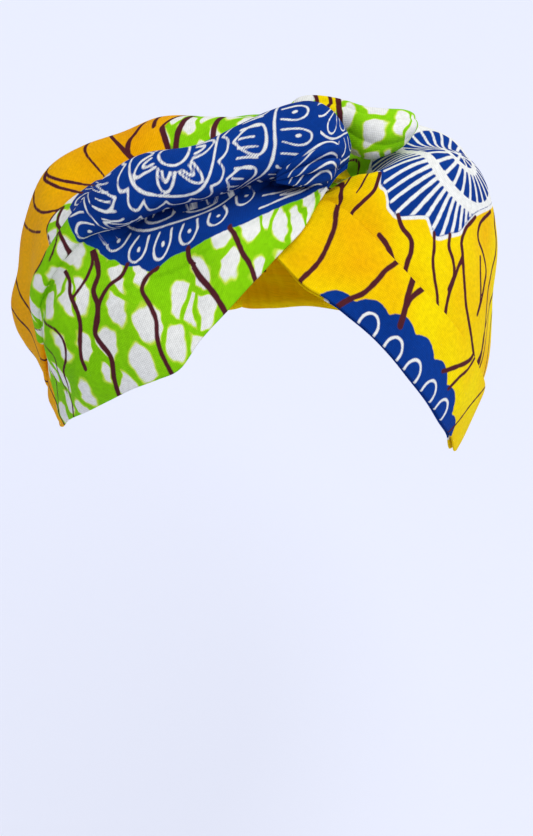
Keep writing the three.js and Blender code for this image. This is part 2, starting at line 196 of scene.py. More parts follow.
def knot_weights(knots: int, at: np.ndarray) -> np.ndarray:
    """Weights of a smooth (Catmull-Rom) curve through evenly numbered knots.

    Between knots the curve is the cubic that passes both with the slope of its neighbours'
    difference; past the ends the last step is carried on in a straight line.

    Args:
        knots: how many knots there are.
        at: where on the curve, counted in knots.

    Returns:
        A matrix of len(at) rows and one column a knot.
    """
    i = np.clip(at.astype(int), 0, knots - 2)
    f = at - i
    parts = (
        -0.5 * f + f**2 - 0.5 * f**3,
        1 - 2.5 * f**2 + 1.5 * f**3,
        0.5 * f + 2 * f**2 - 1.5 * f**3,
        -0.5 * f**2 + 0.5 * f**3,
    )
    rows = np.arange(len(at))
    weights = np.zeros((len(at), knots))
    for step, part in enumerate(parts):
        j = i - 1 + step
        inside = (j >= 0) & (j < knots)
        weights[rows[inside], j[inside]] += part[inside]
        for missing, near, next_one in ((j < 0, 0, 1), (j >= knots, knots - 1, knots - 2)):
            weights[rows[missing], near] += 2 * part[missing]
            weights[rows[missing], next_one] -= part[missing]
    return weights


def arc_lengths(places: np.ndarray, axis: int) -> np.ndarray:
    """Length walked along one axis of a grid of places, from its start, in metres."""
    steps = np.linalg.norm(np.diff(places, axis=axis), axis=-1)
    start = np.zeros_like(np.take(steps, [0], axis=axis))
    return np.concatenate([start, np.cumsum(steps, axis=axis)], axis=axis)


def grid_normals(places: np.ndarray, ring: bool = False) -> np.ndarray:
    """Outward directions on a grid: the cross product of its two central differences."""
    if ring:
        along = np.roll(places, -1, 0) - np.roll(places, 1, 0)
    else:
        along = np.gradient(places, axis=0)
    out = np.cross(along, np.gradient(places, axis=1))
    return out / np.maximum(np.linalg.norm(out, axis=-1, keepdims=True), 1e-12)


def mix(a: float, b: float, share: float) -> float:
    """The value a share of the way from a to b."""
    return a + (b - a) * share


def bump(x: np.ndarray, centre: float, width: float) -> np.ndarray:
    """A soft hill of height 1 at centre that falls off over width on both sides."""
    return np.exp(-(((x - centre) / width) ** 2))


def ease(x: np.ndarray, low: float, high: float) -> np.ndarray:
    """0 below low, 1 above high, and a smooth S between."""
    t = np.clip((x - low) / (high - low), 0, 1)
    return t * t * (3 - 2 * t)


def wander(u: np.ndarray, v: np.ndarray, seed: int, wave: float, count: int = 7) -> np.ndarray:
    """Smooth seeded unevenness of about -1 to 1: a sum of plane waves of about the given length."""
    rng = np.random.default_rng(seed)
    total = np.zeros_like(u)
    for _ in range(count):
        turn, phase = rng.uniform(0, 2 * math.pi, 2)
        k = 2 * math.pi / (wave * rng.uniform(0.7, 1.5))
        total += np.sin(k * (u * math.cos(turn) + v * math.sin(turn)) + phase)
    return total / math.sqrt(count)


def linked(name: str, data: bpy.types.ID) -> bpy.types.Object:
    """A new object of the scene, at the origin."""
    obj = bpy.data.objects.new(name, data)
    bpy.context.scene.collection.objects.link(obj)
    return obj


def make_mesh(name: str, vertices: np.ndarray, faces: list[list[int]]) -> bpy.types.Object:
    """A smooth mesh object at the origin from places and faces.

    Args:
        name: the piece's name.
        vertices: n places in metres.
        faces: the vertex numbers of each face.

    Returns:
        The linked object.
    """
    mesh = bpy.data.meshes.new(name)
    mesh.from_pydata(vertices.reshape(-1, 3).tolist(), [], faces)
    mesh.polygons.foreach_set("use_smooth", np.ones(len(mesh.polygons), bool))
    mesh.update()
    return linked(name, mesh)


def sleeve(outer: np.ndarray, inner: np.ndarray, margin: float = 0.5) -> np.ndarray:
    """Each row of a cloth taken once round: outer face, rounded edge, inner face, rounded edge.

    Args:
        outer: grid of the outer face, or of any values kept on it.
        inner: grid of the inner face, with fewer columns and the same ends.
        margin: how far the two edge lines stand out, as a share of the thickness.

    Returns:
        A grid with the columns of both and two more.
    """
    edges = []
    for side, inside in ((-1, -2), (0, 1)):
        a, b = outer[:, side], inner[:, side]
        away = a - outer[:, inside]
        size = np.maximum(np.linalg.norm(away, axis=-1, keepdims=True), 1e-9)
        thick = np.linalg.norm(a - b, axis=-1, keepdims=True)
        edges.append(((a + b) / 2 + away / size * thick * margin)[:, None])
    return np.concatenate([outer, edges[0], inner[:, ::-1], edges[1]], axis=1)


def sleeve_faces(rows: int, cols: int, fine: int, ring: bool) -> list[list[int]]:
    """Faces of a sleeve grid, closed round its rows and capped or joined at its ends.

    Args:
        rows: rows of the grid.
        cols: columns of the outer face.
        fine: how many steps of the outer face one step of the inner face spans.
        ring: whether the last row joins the first.

    Returns:
        Quads, and triangles in the caps.
    """
    steps = (cols - 1) // fine
    number = np.arange(rows * (cols + steps + 3)).reshape(rows, -1)
    closed = np.hstack([number, number[:, :1]])
    if ring:
        closed = np.vstack([closed, closed[:1]])
    quads = np.stack([closed[:-1, :-1], closed[1:, :-1], closed[1:, 1:], closed[:-1, 1:]], -1)
    faces = quads.reshape(-1, 4).tolist()
    if ring:
        return faces
    step = np.arange(cols - 1) // fine
    for row, flip in ((number[0], False), (number[-1], True)):
        behind = row[cols + 1 : cols + steps + 2][::-1]
        caps = [
            np.stack([row[: cols - 1], row[1:cols], behind[step]], -1),
            np.stack([row[fine:cols:fine], behind[1:], behind[:-1]], -1),
            np.array([[row[0], behind[0], row[-1]], [row[cols - 1], row[cols], behind[-1]]]),
        ]
        faces += np.vstack([c[:, ::-1] if flip else c for c in caps]).tolist()
    return faces


def distance_to_path(points: np.ndarray, path: np.ndarray) -> np.ndarray:
    """Distance from flat cloth points to a path of straight steps: the least over its steps.

    Args:
        points: n places on the flat cloth (u, v), in millimetres.
        path: the path's corners, in the same measure.

    Returns:
        n distances in millimetres, FAR at most.
    """
    low, high = path.min(0) - FAR, path.max(0) + FAR
    near = np.where(((points > low) & (points < high)).all(1))[0]
    result = np.full(len(points), FAR)
    best = np.full(len(near), FAR**2)
    p = points[near]
    for a, b in zip(path[:-1], path[1:]):
        step = b - a
        share = np.clip(((p - a) @ step) / max(step @ step, 1e-9), 0, 1)
        gap = p - a - share[:, None] * step
        best = np.minimum(best, (gap * gap).sum(1))
    result[near] = np.sqrt(best)
    return result


def inside_polygon(points: np.ndarray, polygon: np.ndarray) -> np.ndarray:
    """True where a ray from the point crosses the closed polygon an odd number of times."""
    hits = np.zeros(len(points), bool)
    for a, b in zip(polygon, np.roll(polygon, -1, 0)):
        spans = (a[1] > points[:, 1]) != (b[1] > points[:, 1])
        rise = b[1] - a[1] if abs(b[1] - a[1]) > 1e-9 else 1e-9
        hits ^= spans & (points[:, 0] < a[0] + (points[:, 1] - a[1]) * (b[0] - a[0]) / rise)
    return hits


def region(points: np.ndarray, polygon: np.ndarray) -> np.ndarray:
    """Signed distance to a closed polygon's border, minus inside it, in millimetres."""
    closed = np.vstack([polygon, polygon[:1]])
    size = distance_to_path(points, closed)
    return np.where(inside_polygon(points, polygon), -size, size)


def flowing(corners: Sequence[tuple[float, float]], step: float = 1.2) -> np.ndarray:
    """A smooth path through a few corners, sampled about every step millimetres."""
    knots = np.array(corners, float)
    length = np.linalg.norm(np.diff(knots, axis=0), axis=1).sum()
    at = np.linspace(0, len(knots) - 1, max(3, int(length / step)))
    return knot_weights(len(knots), at) @ knots


@dataclass
class Cloth:
    """A printed piece: knows how a grid of values is spread over its mesh's places."""

    name: str
    rows: Sequence[Sequence[float]]
    along: int
    across: int

    def spread(self, values: np.ndarray) -> np.ndarray:
        """One row of values for each place of the mesh, from a grid of them."""
        raise NotImplementedError

    def keep_map(self, obj: bpy.types.Object) -> None:
        """Stores the flat cloth coordinates, in metres, as the piece's UV map."""
        flat = self.spread(np.stack([self.u, self.v], -1)) * MM
        layer = obj.data.uv_layers.new(name="cloth")
        corner = np.zeros(len(obj.data.loops), np.int32)
        obj.data.loops.foreach_get("vertex_index", corner)
        layer.data.foreach_set("uv", flat[corner].astype(np.float32).ravel())

    def seal(self, obj: bpy.types.Object) -> None:
        """Closes what the grid leaves open. Most grids leave nothing."""

    def keep(self, obj: bpy.types.Object, name: str, values: np.ndarray) -> None:
        """Stores a grid of numbers as a point attribute."""
        attribute = obj.data.attributes.new(name, "FLOAT", "POINT")
        spread = self.spread(values[..., None]).astype(np.float32)
        attribute.data.foreach_set("value", spread.ravel())


@dataclass
class ClothSheet(Cloth):
    """A sheet laid over the head: sections of named columns, smoothed, wrinkled and given walls."""

    thickness: float = 0.0007
    fine: int = 10
    ring: bool = False

    def section(self, row: Sequence[float]) -> list[tuple[float, float]]:
        """The (beta, lift) knots of one section, front to rear. Each kind of sheet has its own."""
        raise NotImplementedError

    def wrinkles(self, alpha: np.ndarray, beta: np.ndarray, share: np.ndarray) -> np.ndarray:
        """Lift added by small folds, in metres."""
        return np.zeros_like(alpha)

    def coordinates(self) -> np.ndarray:
        """Head coordinates of the sheet: smooth across each section and along the sections.

        The sections' knots give a fine grid by smooth curves both ways. Each fine line across
        is then sampled again at even steps of its own arc length.

        Returns:
            A grid with alpha, beta, lift and knot number as its last axis.
        """
        knots = np.array(
            [[(row[0], b, l, k) for k, (b, l) in enumerate(self.section(row))] for row in self.rows]
        )
        stations = np.linspace(0, len(knots) - 1, self.along + (1 if self.ring else 0))
        if self.ring:
            stations = stations[:-1]
        along = knot_weights(len(knots), stations)
        fine = np.linspace(0, knots.shape[1] - 1, 6 * knots.shape[1] + 1)
        grid = np.einsum("ia,abk,jb->ijk", along, knots, knot_weights(knots.shape[1], fine))
        walked = arc_lengths(HEAD.place(*np.moveaxis(grid[..., :3], -1, 0)), 1)
        even = [
            np.interp(np.linspace(0, w[-1], self.across), w, np.arange(len(w))) for w in walked
        ]
        return np.stack(
            [
                np.stack([np.interp(e, np.arange(g.shape[0]), g[:, k]) for k in range(4)], -1)
                for e, g in zip(even, grid)
            ]
        )

    def build(self) -> None:
        """Works out the faces of the cloth and its flat coordinates."""
        grid = self.coordinates()
        self.alpha, beta, lift, share = np.moveaxis(grid, -1, 0)
        lift = lift + self.wrinkles(self.alpha, beta, share)
        self.outer = HEAD.place(self.alpha, beta, lift)
        self.normals = grid_normals(self.outer, self.ring)
        self.inner = self.outer - self.normals * self.thickness
        walked = arc_lengths(self.outer, 0)
        middle = np.argmin(np.abs(self.alpha[:, 0] - self.alpha[:, 0].mean()))
        self.u = (walked - walked[middle]) * 1000
        self.v = arc_lengths(self.outer, 1) * 1000

    def spread(self, values: np.ndarray) -> np.ndarray:
        """The same values on both faces of the cloth, and on its edges."""
        return sleeve(values, values[:, :: self.fine], 0).reshape(-1, values.shape[-1])

    def piece(self) -> bpy.types.Object:
        """The closed mesh of the sheet with its flat cloth map."""
        faces = sleeve_faces(*self.outer.shape[:2], self.fine, self.ring)
        obj = make_mesh(self.name, sleeve(self.outer, self.inner[:, :: self.fine]), faces)
        self.keep_map(obj)
        return obj


@dataclass
class LeftPanel(ClothSheet):
    """The left panel: band, turned lip, crease, round roll, valley and back fold."""

    def section(self, row: Sequence[float]) -> list[tuple[float, float]]:
        """Knots of one section from the columns of LEFT_ROWS."""
        (_, edge, edge_l, lip, lip_l, crease, crease_l, roll, roll_l, radius, valley, valley_l,
         back, back_l, rear, rear_l) = row
        reach = float(HEAD.degrees_over(radius * PUFF))
        knots = [
            (edge, edge_l),
            (mix(edge, lip, 0.5), mix(edge_l, lip_l, 0.55)),
            (lip - 0.6, mix(edge_l, lip_l, 0.8)),
            (lip + 0.8, lip_l),
            (mix(lip, crease, 0.5), mix(lip_l, crease_l, 0.45)),
            (crease, crease_l),
            (roll - 0.72 * reach, roll_l - 0.62 * radius),
            (roll - 0.98 * reach, roll_l + 0.1 * radius),
            (roll - 0.55 * reach, roll_l + 0.84 * radius),
            (roll + 0.2 * reach, roll_l + radius),
            (roll + 0.9 * reach, roll_l + 0.55 * radius),
            (valley, valley_l),
            (mix(valley, back, 0.55), mix(valley_l, back_l, 0.75)),
            (back, back_l),
            (mix(back, rear, 0.55), mix(back_l, rear_l, 0.4)),
            (rear, rear_l),
        ]
        return [(beta, lift * PUFF) for beta, lift in knots]

    def wrinkles(self, alpha: np.ndarray, beta: np.ndarray, share: np.ndarray) -> np.ndarray:
        """Small folds: ripples that fan out of the knot, soft upright dents on the side, unevenness."""
        near = ease(alpha, -48, 6)
        fan = 0.6 * np.sin(2.1 * share + 0.9) * near * ease(share, 0.5, 1.5)
        upright = 0.75 * np.sin(np.radians(alpha * 11 + beta * 3)) * bump(alpha, -62, 20)
        upright = upright * ease(share, 0.3, 2.0) * (1 - ease(share, 11, 14))
        uneven = 0.5 * wander(alpha * ALPHA_MM, beta * BETA_MM, seed=3, wave=26)
        return (fan + upright + uneven) * ease(share, 0, 1.0) * MM


@dataclass
class RightPanel(ClothSheet):
    """The right panel: hem, swelling front, crest, dip and back fold."""

    def section(self, row: Sequence[float]) -> list[tuple[float, float]]:
        """Knots of one section from the columns of RIGHT_ROWS."""
        (_, edge, edge_l, hem, hem_l, front, front_l, crest, crest_l, dip, dip_l, fold, fold_l,
         rear, rear_l) = row
        knots = [
            (edge, edge_l),
            (mix(edge, hem, 0.5), mix(edge_l, hem_l, 0.56)),
            (hem, hem_l),
            (front, front_l),
            (mix(front, crest, 0.5), mix(front_l, crest_l, 0.7)),
            (crest, crest_l),
            (dip, dip_l),
            (fold, fold_l),
            (rear, rear_l),
        ]
        return [(beta, lift * PUFF) for beta, lift in knots]

    def wrinkles(self, alpha: np.ndarray, beta: np.ndarray, share: np.ndarray) -> np.ndarray:
        """Small folds: soft ones from the knot, gathers and a hole at it, a full crest, unevenness."""
        fan = 0.8 * np.sin(3.0 * share + 0.02 * alpha) * (1 - ease(alpha, 40, 85))
        gather = 0.55 * np.sin(10 * share + 0.1 * alpha) * (1 - ease(alpha, 9, 20)) * ease(share, 1, 2)
        hole = 7.0 * (1 - ease(alpha, 13, 21)) * ease(share, 3.6, 4.6)
        hole = np.maximum(hole, 9.0 * (1 - ease(alpha, 24, 31)) * ease(share, 4.9, 6.0))
        side = 0.9 * np.sin(np.radians(alpha * 15 + beta * 5)) * bump(alpha, 66, 20)
        uneven = 0.45 * wander(alpha * ALPHA_MM, beta * BETA_MM, seed=11, wave=28)
        fuller = 4.8 * bump(alpha, 43, 9) * bump(share, 6.0, 1.6)
        free = ease(share, 2.0, 3.2)
        return ((fan + side) * free + gather - hole + fuller + uneven * ease(share, 0, 1)) * MM


@dataclass
class HemBand(RightPanel):
    """The right panel's hem: a second layer folded over its front from the edge to the hem line."""

    above: float = 0.0019

    def section(self, row: Sequence[float]) -> list[tuple[float, float]]:
        """The first knots of the panel's section, up to the hem line."""
        return super().section(row)[:3]

    def build(self) -> None:
        """The panel's own front, moved out by the band's height, which dwindles at the knot."""
        super().build()
        rise = self.above * (0.4 + 0.6 * ease(self.alpha, 4, 10))
        self.outer = self.outer + self.normals * rise[..., None]
        self.inner = self.outer - self.normals * self.thickness


@dataclass
class CrownBag(ClothSheet):
    """The bag behind the panels: a ring of sections that meet at the back of the head."""

    def section(self, row: Sequence[float]) -> list[tuple[float, float]]:
        """Knots of one section from the columns of BAG_ROWS."""
        _, front, tuck, tuck_l, swell_l, crown_l = row
        low = min(tuck_l, 0.1)
        knots = [
            (front, low),
            (mix(front, tuck, 0.5), low),
            (tuck, tuck_l),
            (mix(tuck, 90, 0.22), swell_l),
            (mix(tuck, 90, 0.5), crown_l),
            (mix(tuck, 90, 0.85), BACK_LIFT),
            (90, BACK_LIFT),
        ]
        return [(beta, lift * PUFF) for beta, lift in knots]

    def build(self) -> None:
        """The ring, its places at the back of the head brought together on each face."""
        super().build()
        self.inner[:, -1] = self.outer[:, -1] - np.array((0, 1, 0)) * self.thickness

    def seal(self, obj: bpy.types.Object) -> None:
        """Makes the places that meet at the back of the head one."""
        work = bmesh.new()
        work.from_mesh(obj.data)
        bmesh.ops.remove_doubles(work, verts=work.verts, dist=2e-6)
        work.to_mesh(obj.data)
        work.free()

    def wrinkles(self, alpha: np.ndarray, beta: np.ndarray, share: np.ndarray) -> np.ndarray:
        """Gathers: close pleats by the rim that open into a few soft folds up the bag."""
        by_rim = np.sin(np.radians(alpha * 34)) * bump(share, 2.2, 1.0) * 0.5
        soft = np.sin(np.radians(alpha * 9 + 40) + 0.4 * share) * bump(share, 4.0, 1.5) * 1.3
        return (by_rim * ease(share, 1.2, 2.2) + soft * ease(share, 2, 3.4)) * MM


@dataclass
class Bunch(Cloth):
    """Cloth bunched on itself: a closed pillow of round sections along a line, ridged by folds."""

    ridges: int = 3
    depth: float = 0.05
    crumple: float = 0.0

    def build(self) -> None:
        """Rings of places round the centre line, each swollen by the folds.

        A ring is the ellipse of the two half sizes. Its radius is scaled by the folds: round
        tops with sharp creases between, deeper by crumple toward the first end, and turning
        slowly round the line.
        """
        knots = np.array(self.rows)
        lines = knot_weights(len(knots), np.linspace(0, len(knots) - 1, self.along)) @ knots
        turn = np.linspace(0, 2 * math.pi, self.across, endpoint=False)[None]
        alpha, beta, lift, deep, high = (lines[:, k : k + 1] for k in range(5))
        share = np.linspace(0, 1, self.along)[:, None]
        folds = 2 * np.abs(np.cos(self.ridges * turn / 2 + 0.5 * share)) - 1
        swell = PUFF * (1 + (self.depth + self.crumple * (1 - ease(share, 0.1, 0.5))) * folds)
        reach = HEAD.degrees_over(deep * swell * np.cos(turn))
        up = lift * PUFF + high * swell * np.sin(turn)
        self.places = HEAD.place(np.broadcast_to(alpha, reach.shape), beta + reach, up)
        self.ends = HEAD.place(lines[[0, -1], 0], lines[[0, -1], 1], lines[[0, -1], 2] * PUFF)
        self.u = arc_lengths(self.places, 0) * 1000
        self.v = arc_lengths(self.places, 1) * 1000

    def spread(self, values: np.ndarray) -> np.ndarray:
        """The grid's values, then one for each pointed end."""
        flat = values.reshape(-1, values.shape[-1])
        return np.vstack([flat, flat[:1], flat[-1:]])

    def piece(self) -> bpy.types.Object:
        """The closed mesh, its ends fanned to a point, with the flat cloth map."""
        rows, cols = self.places.shape[:2]
        number = np.arange(rows * cols).reshape(rows, cols)
        number = np.hstack([number, number[:, :1]])
        quads = np.stack([number[:-1, :-1], number[:-1, 1:], number[1:, 1:], number[1:, :-1]], -1)
        first, last = np.full(cols, rows * cols), np.full(cols, rows * cols + 1)
        tips = np.stack([first, number[0][1:], number[0][:-1]], -1).tolist()
        tips += np.stack([last, number[-1][:-1], number[-1][1:]], -1).tolist()
        places = np.concatenate([self.places.reshape(-1, 3), self.ends])
        obj = make_mesh(self.name, places, quads.reshape(-1, 4)[:, ::-1].tolist() + tips)
        self.keep_map(obj)
        return obj


def linear(colour: str) -> tuple[float, float, float, float]:
    """An sRGB hex colour as the linear numbers that Blender's nodes take."""
    parts = [int(colour.lstrip("#")[k : k + 2], 16) / 255 for k in (0, 2, 4)]
    return (*(c / 12.92 if c <= 0.04045 else ((c + 0.055) / 1.055) ** 2.4 for c in parts), 1.0)


Socket = bpy.types.NodeSocket


@dataclass
class NodeBook:
    """One material's node tree, filled a node at a time."""

    tree: bpy.types.NodeTree

    def add(self, kind: str, settings: dict | None = None, **inputs: object) -> bpy.types.Node:
        """Adds a node.

        Args:
            kind: the node type without its ShaderNode prefix.
            settings: the node's own properties.
            inputs: values or sockets, by the input's name in lower case with _ for spaces, or
                by in0, in1 and so on for its number.

        Returns:
            The node.
        """
        node = self.tree.nodes.new("ShaderNode" + kind)
        for name, value in (settings or {}).items():
            setattr(node, name, value)
        for name, value in inputs.items():
            if name.startswith("in") and name[2:].isdigit():
                socket = node.inputs[int(name[2:])]
            else:
                words = name.replace("_", " ")
                socket = next(s for s in node.inputs if s.name.lower() == words)
            if isinstance(value, Socket):
                self.tree.links.new(value, socket)
            else:
                socket.default_value = value
        return node

    def value(self, name: str) -> Socket:
        """The point attribute of that name as a number."""
        return self.add("Attribute", {"attribute_name": name}).outputs["Fac"]

    def noise(self, flat: Socket, size: float, detail: float) -> Socket:
        """Soft noise over the flat cloth, with swells of about size millimetres."""
        return self.add("TexNoise", vector=flat, scale=1 / (size * MM), detail=detail).outputs[0]

    def math(self, operation: str, *inputs: object) -> Socket:
        """One arithmetic step."""
        named = {f"in{k}": value for k, value in enumerate(inputs)}
        return self.add("Math", {"operation": operation}, **named).outputs[0]

    def below(self, what: Socket, edge: float, soft: float) -> Socket:
        """1 where a number is under edge, 0 over it, with a soft border."""
        node = self.add(
            "MapRange", {"clamp": True}, value=what, from_min=edge - soft, from_max=edge + soft,
            to_min=1.0, to_max=0.0,
        )
        return node.outputs[0]

    def over(self, base: object, top: object, share: object) -> Socket:
        """A colour laid over another by a share."""
        node = self.add("Mix", {"data_type": "RGBA"}, in0=share, in6=base, in7=top)
        return node.outputs[2]


@dataclass(frozen=True)
class WaxCotton:
    """Wax-print cotton: plain-woven 0.6 mm threads, printed with resist, matt.

    The weave gives a fine tooth, the resist gives slightly ragged borders, and the cloth has
    a very faint sheen at glancing angles. Sizes, in millimetres: a thread, its thick places
    (slub), a cell of the net, the patches where cells shrink, the clouds of tone, the wander of
    the borders, and how wide and how far the net is bent.
    """

    name: str
    yellow: str = "#FDE200"
    amber: str = "#F5B200"
    green: str = "#8EDA0C"
    leaf: str = "#7CCA06"
    blue: str = "#083C94"
    navy: str = "#062F7C"
    brown: str = "#54222A"
    white: str = "#F3F4EF"
    lime: str = "#CDEB45"
    roughness: float = 0.85
    gloss: float = 0.05
    sheen: float = 0.01
    thread: float = 0.62
    slub: float = 1.6
    cell: float = 9.5
    patch: float = 26
    cloud: float = 45
    wander: float = 3
    bend: tuple[float, float] = (7, 5)

    def net(self, book: NodeBook, flat: Socket, ragged: Socket, tone: Socket) -> Socket:
        """The green ground: white cells about 9.5 x 15 mm with round corners in a green net.

        In patches the cells shrink to loose flecks. Each has a thin lime border.

        Args:
            book: the material's nodes.
            flat: the flat cloth's coordinates.
            ragged: the wandering of the resist's borders.
            tone: the slow change of tone.

        Returns:
            The colour.
        """
        plane = {"noise_dimensions": "2D"}
        wide, far = (size * MM for size in self.bend)
        bent = book.add("TexNoise", plane, vector=flat, scale=1 / wide, detail=1.0).outputs[1]
        bent = book.add("VectorMath", {"operation": "SUBTRACT"}, in0=bent, in1=(0.5, 0.5, 0.5))
        bent = book.add("VectorMath", {"operation": "SCALE"}, in0=bent.outputs[0], scale=far)
        bent = book.add("VectorMath", {"operation": "ADD"}, in0=flat, in1=bent.outputs[0])
        tall = book.add("Mapping", in0=bent.outputs[0], scale=(1.0, 0.62, 1.0)).outputs[0]
        size = 1 / (self.cell * MM)
        cells = {"voronoi_dimensions": "2D"}
        edges = {"voronoi_dimensions": "2D", "feature": "DISTANCE_TO_EDGE"}
        border = book.add("TexVoronoi", edges, vector=tall, scale=size, randomness=0.8).outputs[0]
        cell = book.add("TexVoronoi", cells, vector=tall, scale=size, randomness=0.8)
        kind = book.add("SeparateColor", in0=cell.outputs[1]).outputs[0]
        patch = book.noise(flat, self.patch, 1.0)
        patch = book.add("MapRange", value=patch, from_min=0.4, from_max=0.62).outputs[0]
        shrink = book.math("MULTIPLY", book.math("MULTIPLY", kind, patch), 0.26)
        rounded = book.math("SUBTRACT", 0.62, cell.outputs[0])
        fill = book.math("MINIMUM", book.math("MULTIPLY", border, 2.1), rounded)
        fill = book.math("SUBTRACT", fill, shrink)
        fill = book.math("ADD", fill, book.math("MULTIPLY", ragged, 0.05))
        greens = book.over(linear(self.green), linear(self.leaf), tone)
        greens = book.over(linear(self.lime), greens, book.below(fill, 0.13, 0.03))
        return book.over(linear(self.white), greens, book.below(fill, 0.19, 0.03))

    def printed(self, book: NodeBook, flat: Socket) -> Socket:
        """The printed colour: yellow ground, green net, blue fields, white lines and brown veins."""
        # The resist's borders wander by up to about 0.3 mm.
        ragged = book.noise(flat, self.wander, 2.0)
        ragged = book.math("MULTIPLY", book.math("SUBTRACT", ragged, 0.5), 0.9)
        tone = book.noise(flat, self.cloud, 2.0)
        tone = book.add("MapRange", value=tone, from_min=0.4, from_max=0.72).outputs[0]
        blues = book.over(linear(self.blue), linear(self.navy), tone)
        ground = book.over(linear(self.yellow), linear(self.amber), tone)
        for colour, layer, wander_share, soft in (
            (self.net(book, flat, ragged, tone), "green", 1.0, 0.2),
            (blues, "blue", 1.0, 0.2),
            (linear(self.white), "ink", 0.45, 0.18),
            (linear(self.brown), "vein", 0.6, 0.2),
        ):
            away = book.math("ADD", book.value(layer), book.math("MULTIPLY", ragged, wander_share))
            ground = book.over(ground, colour, book.below(away, 0.0, soft))
        return ground

    def weave(self, book: NodeBook, flat: Socket) -> Socket:
        """The height of the threads both ways."""
        # A wave of scale s repeats every 2 pi / 20 s metres.
        thread = 2 * math.pi / (20 * self.thread * MM)
        warp = book.add("TexWave", {"bands_direction": "X"}, vector=flat, scale=thread).outputs[1]
        weft = book.add("TexWave", {"bands_direction": "Y"}, vector=flat, scale=thread).outputs[1]
        return book.math("MULTIPLY", warp, weft)

    def make(self) -> bpy.types.Material:
        """The material: the printed colour, shaded by the threads, with the weave's bump."""
        material = bpy.data.materials.new(self.name)
        material.use_nodes = True
        material.node_tree.nodes.clear()
        book = NodeBook(material.node_tree)
        flat = book.add("UVMap", {"uv_map": "cloth"}).outputs[0]
        ground = self.printed(book, flat)
        weave = self.weave(book, flat)
        uneven = book.math("MULTIPLY_ADD", book.noise(flat, self.slub, 2.0), 0.36, 0.69)
        shade = book.math("MULTIPLY_ADD", weave, 0.22, uneven)
        shade = book.add("CombineColor", in0=shade, in1=shade, in2=shade).outputs[0]
        multiply = {"data_type": "RGBA", "blend_type": "MULTIPLY"}
        ground = book.add("Mix", multiply, in0=1.0, in6=ground, in7=shade).outputs[2]
        tooth = book.add("Bump", strength=0.5, distance=0.15 * MM, height=weave).outputs[0]
        shader = book.add(
            "BsdfPrincipled", base_color=ground, roughness=self.roughness, ior=1.46,
            specular_ior_level=self.gloss, sheen_weight=self.sheen, sheen_roughness=0.5,
            normal=tooth,
        )
        book.add("OutputMaterial", surface=shader.outputs[0])
        return material


class Motif(Enum):
    """Plain ornaments of a ring, each a few strokes in a cell: share along the ring, share outward."""

    LOOP = (((0.22, -0.05), (0.16, 0.5), (0.34, 0.92), (0.62, 0.95), (0.8, 0.55), (0.74, -0.05)),)
    LEAF = (
        ((0.5, 0.02), (0.2, 0.42), (0.14, 0.84), (0.46, 0.97), (0.82, 0.86), (0.8, 0.44), (0.5, 0.02)),
    )
    COMB = (
        ((0.1, 0.0), (0.13, 0.9)),
        ((0.35, 0.0), (0.38, 0.96)),
        ((0.6, 0.0), (0.63, 0.9)),
        ((0.85, 0.0), (0.86, 0.7)),
    )
    WAVE = (((0.0, 0.15), (0.25, 0.8), (0.5, 0.95), (0.75, 0.8), (1.0, 0.15)),)
    LINE = (((0.0, 0.0), (0.5, 0.0), (1.0, 0.0)),)
    RAY = (((0.5, 0.0), (0.5, 1.0)),)
    DOT = (((0.5, 0.42), (0.53, 0.5)),)
    ARROW = (((0.08, 0.05), (0.5, 0.95), (0.92, 0.05)), ((0.3, 0.05), (0.5, 0.5), (0.7, 0.05)))


@dataclass(frozen=True)
class Band:
    """One ring of a medallion. Radii and half the line's width in millimetres, angles in degrees."""

    motif: Motif
    inner: float
    outer: float
    count: int
    half: float
    start: float = 0

    def strokes(self, centre: tuple[float, float]) -> list[tuple[float, np.ndarray]]:
        """The ring's lines on the flat cloth.

        Each cell takes an equal share of the round. A stroke's place along the cell gives the
        angle, and its place outward the radius.

        Args:
            centre: the medallion's middle (u, v).

        Returns:
            Half width and path of each line.
        """
        lines = []
        for cell in range(self.count):
            for stroke in self.motif.value:
                path = flowing(stroke, step=0.06)
                angle = self.start + 360 * (cell + path[:, 0]) / self.count
                reach = self.inner + (self.outer - self.inner) * path[:, 1]
                turn = np.radians(angle)
                places = np.stack([np.cos(turn), np.sin(turn)], -1) * reach[:, None]
                lines.append((self.half, places + np.array(centre)))
        return lines


@dataclass(frozen=True)
class Medallion:
    """A round field of rings that hides the fields drawn after it."""

    centre: tuple[float, float]
    reach: float
    bands: Sequence[Band]


def scallops(
    ends: tuple[float, float], rise: float, count: int, depth: float, base: float = -4
) -> list[tuple[float, float]]:
    """Border of a field that rises from a straight base: an arc set with round lobes.

    Args:
        ends: where the arc starts and stops along the base.
        rise: height of the arc in the middle.
        count: how many lobes.
        depth: height of a lobe.
        base: height of the base line.

    Returns:
        The closed field's corners.
    """
    t = np.linspace(0, 1, count * 10 + 1)
    arc = (rise - base) * np.sin(np.pi * t) ** 0.6
    height = base + arc + depth * np.abs(np.sin(np.pi * count * t))
    along = ends[0] + (ends[1] - ends[0]) * t
    return list(zip(along.tolist(), height.tolist()))


